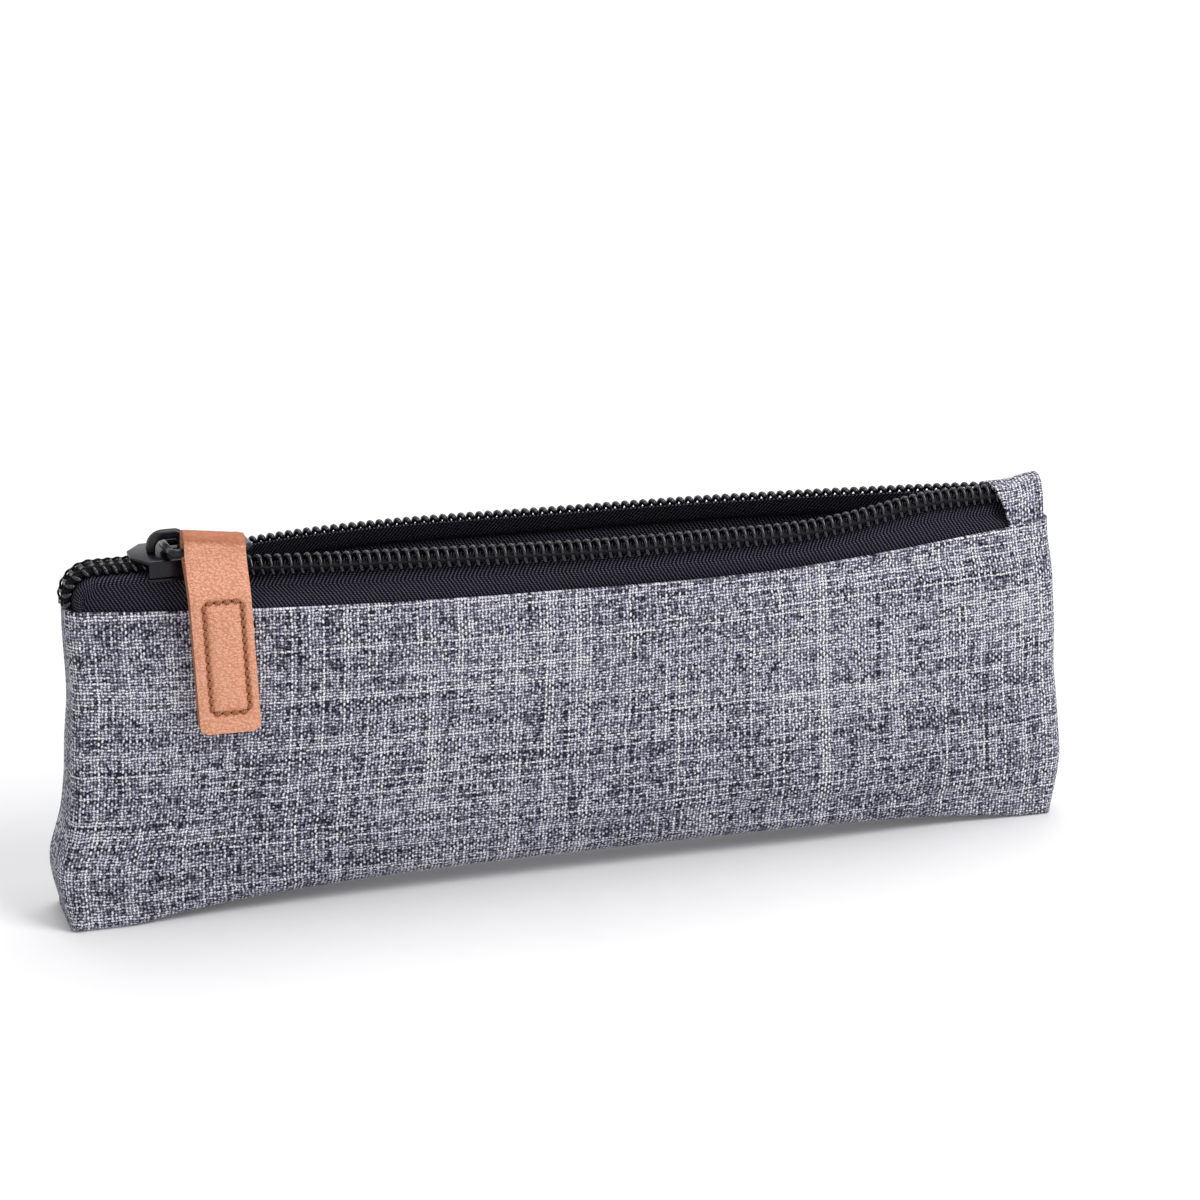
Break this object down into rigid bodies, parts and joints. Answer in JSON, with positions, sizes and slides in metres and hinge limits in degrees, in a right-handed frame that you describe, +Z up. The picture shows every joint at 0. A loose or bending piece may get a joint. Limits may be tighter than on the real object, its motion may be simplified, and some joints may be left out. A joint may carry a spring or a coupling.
{
  "type": "insulin cooling case",
  "caption": "Slim soft pouch for carrying insulin cool: woven fabric walls over foam and lining, a coil zip along the open top, and a slider with a wire ring and leather pull strap.",
  "frame": {"origin": "middle of the case on the plane its base rests on", "axes": "+X along the case from the zip's closed end to its sewn end, -Y towards the front with the pull strap, +Z up through the mouth"},
  "size_m": [0.2342, 0.0316, 0.0903],
  "materials": {
    "woven_fabric": "grey melange plain weave",
    "insulation_foam": "closed-cell foam sheet",
    "lining": "smooth dark lining",
    "zip_tape": "black herringbone tape",
    "zip_coil": "glossy black monofilament",
    "black_metal": "satin black enamel",
    "leather": "tan pebble grain",
    "thread": "dark brown sewing thread"
  },
  "bodies": {
    "case": {"front_panel": "woven_fabric", "rear_panel": "woven_fabric", "front_insulation": "insulation_foam", "rear_insulation": "insulation_foam", "front_lining": "lining", "rear_lining": "lining", "front_zip_tape": "zip_tape", "rear_zip_tape": "zip_tape", "front_zip_coil": "zip_coil", "rear_zip_coil": "zip_coil", "zip_end_tab": "woven_fabric"},
    "slider": {"slider_body": "black_metal", "slider_crown": "black_metal"},
    "ring": {"pull_ring": "black_metal"},
    "strap": {"pull_strap": "leather", "strap_stitching": "thread"}
  },
  "joints": [
    {"name": "slider_travel", "type": "slide", "parent": "case", "child": "slider", "axis": [1, 0, 0], "range_m": [0, 0.184], "deforming": ["front_panel", "rear_panel", "front_insulation", "rear_insulation", "front_lining", "rear_lining", "front_zip_tape", "rear_zip_tape", "front_zip_coil", "rear_zip_coil"]},
    {"name": "ring_swing", "type": "hinge", "parent": "slider", "child": "ring", "pos_m": [-0.09015, 0, 0.08438], "axis": [0, -0.9925, 0.1219], "range_deg": [0, 140]},
    {"name": "strap_swing", "type": "hinge", "parent": "ring", "child": "strap", "pos_m": [-0.08095, -0.01014, 0.08563], "axis": [-1, 0, 0], "range_deg": [0, 150]}
  ]
}
